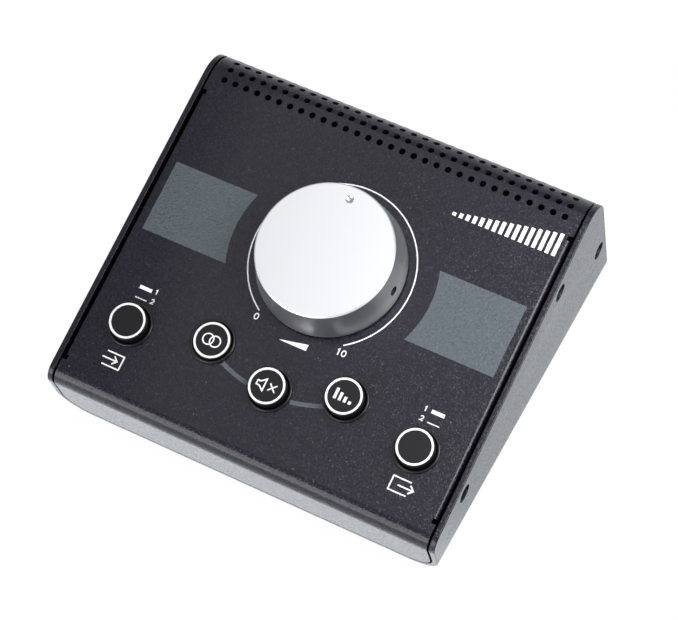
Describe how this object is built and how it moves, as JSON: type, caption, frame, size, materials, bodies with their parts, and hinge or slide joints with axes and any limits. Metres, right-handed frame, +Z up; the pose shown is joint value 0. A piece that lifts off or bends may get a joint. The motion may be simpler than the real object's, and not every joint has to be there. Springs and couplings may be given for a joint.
{
  "type": "studio monitor controller",
  "caption": "Sloped black steel desktop box with a large silver volume knob, round push switches, a vented rear edge and a row of jacks in its rear wall.",
  "frame": {"origin": "centre of the footprint's bounding box, at the height of the surface that the feet stand on", "axes": "+X to the right seen from the front, +Y to the back, +Z up"},
  "size_m": [0.193, 0.186, 0.097],
  "materials": {
    "powder_coat": "fine textured black powder coat",
    "satin_aluminium": "turned and satin anodised",
    "cap_plastic": "moulded, glossy black",
    "bezel_plastic": "moulded, semi-gloss black",
    "white_plastic": "satin white",
    "rubber": "matt black",
    "black_screw": "black oxide",
    "plated_steel": "nickel plated",
    "brass": "turned",
    "jack_plastic": "moulded black nylon",
    "circuit_board": "green solder mask",
    "component_body": "moulded",
    "ribbon": "grey flat cable"
  },
  "bodies": {
    "case": {"base_tray": "powder_coat", "top_cover": "powder_coat", "rear_wall": "powder_coat", "side_screws": "black_screw", "foot_front_left": "rubber", "foot_front_right": "rubber", "foot_rear_left": "rubber", "foot_rear_right": "rubber", "pot_bushing": "brass", "pot_body": "plated_steel", "pot_washer": "plated_steel", "pot_nut": "brass", "control_board": "circuit_board", "board_standoffs": "plated_steel", "board_screws": "black_screw", "jack_board": "circuit_board", "board_components": "component_body", "ribbon_headers": "jack_plastic", "ribbon_cable": "ribbon", "source_bezel": "bezel_plastic", "mono_bezel": "bezel_plastic", "mute_bezel": "bezel_plastic", "dim_bezel": "bezel_plastic", "monitor_bezel": "bezel_plastic", "source_switch": "plated_steel", "mono_switch": "plated_steel", "mute_switch": "plated_steel", "dim_switch": "plated_steel", "monitor_switch": "plated_steel", "input_1_left_jack": "jack_plastic", "input_1_right_jack": "jack_plastic", "input_2_left_jack": "jack_plastic", "input_2_right_jack": "jack_plastic", "output_1_left_jack": "jack_plastic", "output_1_right_jack": "jack_plastic", "output_2_left_jack": "jack_plastic", "output_2_right_jack": "jack_plastic", "jack_washers": "plated_steel", "jack_nuts": "plated_steel", "mini_jack": "jack_plastic", "mini_jack_nut": "plated_steel"},
    "knob": {"volume_knob": "satin_aluminium", "knob_grub_screw": "plated_steel", "pot_shaft": "brass"},
    "source_button": {"source_cap": "cap_plastic", "source_ring": "white_plastic", "source_plunger": "white_plastic"},
    "mono_button": {"mono_cap": "cap_plastic", "mono_ring": "white_plastic", "mono_plunger": "white_plastic"},
    "mute_button": {"mute_cap": "cap_plastic", "mute_ring": "white_plastic", "mute_plunger": "white_plastic"},
    "dim_button": {"dim_cap": "cap_plastic", "dim_ring": "white_plastic", "dim_plunger": "white_plastic"},
    "monitor_button": {"monitor_cap": "cap_plastic", "monitor_ring": "white_plastic", "monitor_plunger": "white_plastic"}
  },
  "joints": [
    {"name": "volume_turn", "type": "hinge", "parent": "case", "child": "knob", "pos_m": [0, -0.00113, 0.06855], "axis": [0, -0.3007, 0.9537], "range_deg": [-147, 147]},
    {"name": "source_press", "type": "slide", "parent": "case", "child": "source_button", "axis": [0, 0.3007, -0.9537], "range_m": [0, 0.0038], "stiffness_N_per_m": 400, "springref_m": -0.0015},
    {"name": "mono_release", "type": "slide", "parent": "case", "child": "mono_button", "axis": [0, -0.3007, 0.9537], "range_m": [0, 0.0038]},
    {"name": "mute_press", "type": "slide", "parent": "case", "child": "mute_button", "axis": [0, 0.3007, -0.9537], "range_m": [0, 0.0038], "stiffness_N_per_m": 400, "springref_m": -0.0015},
    {"name": "dim_press", "type": "slide", "parent": "case", "child": "dim_button", "axis": [0, 0.3007, -0.9537], "range_m": [0, 0.0038], "stiffness_N_per_m": 400, "springref_m": -0.0015},
    {"name": "monitor_press", "type": "slide", "parent": "case", "child": "monitor_button", "axis": [0, 0.3007, -0.9537], "range_m": [0, 0.0038], "stiffness_N_per_m": 400, "springref_m": -0.0015}
  ]
}
